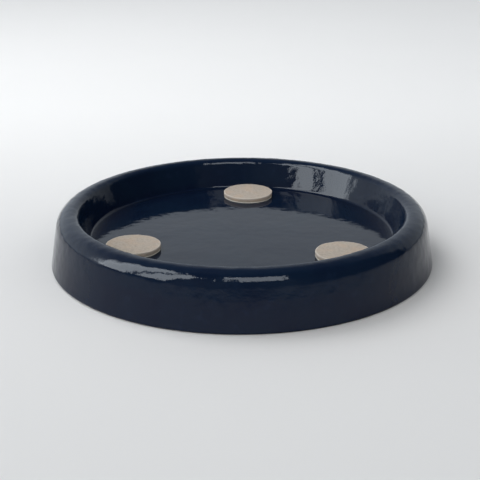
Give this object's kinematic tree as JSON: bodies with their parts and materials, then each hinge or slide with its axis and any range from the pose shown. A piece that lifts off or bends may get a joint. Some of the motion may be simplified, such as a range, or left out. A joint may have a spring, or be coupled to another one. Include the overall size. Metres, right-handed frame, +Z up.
{
  "type": "plant saucer",
  "caption": "Round glazed plant saucer with a rolled rim, a raised well floor, a hollow underside and felt pads that hold a pot clear of the water.",
  "frame": {"origin": "centre of the foot ring, on the surface that the saucer stands on", "axes": "+Z up, out of the well's mouth; -Y towards the viewer of the picture; +X to that viewer's right"},
  "size_m": [0.2496, 0.2496, 0.0353],
  "materials": {
    "navy_glaze": "high gloss",
    "beige_felt": "matt, fibrous",
    "pad_adhesive": "satin"
  },
  "bodies": {
    "root": {"saucer_dish": "navy_glaze", "felt_pad_back": "beige_felt", "felt_pad_left": "beige_felt", "felt_pad_right": "beige_felt", "pad_adhesive_back": "pad_adhesive", "pad_adhesive_left": "pad_adhesive", "pad_adhesive_right": "pad_adhesive"}
  },
  "joints": []
}
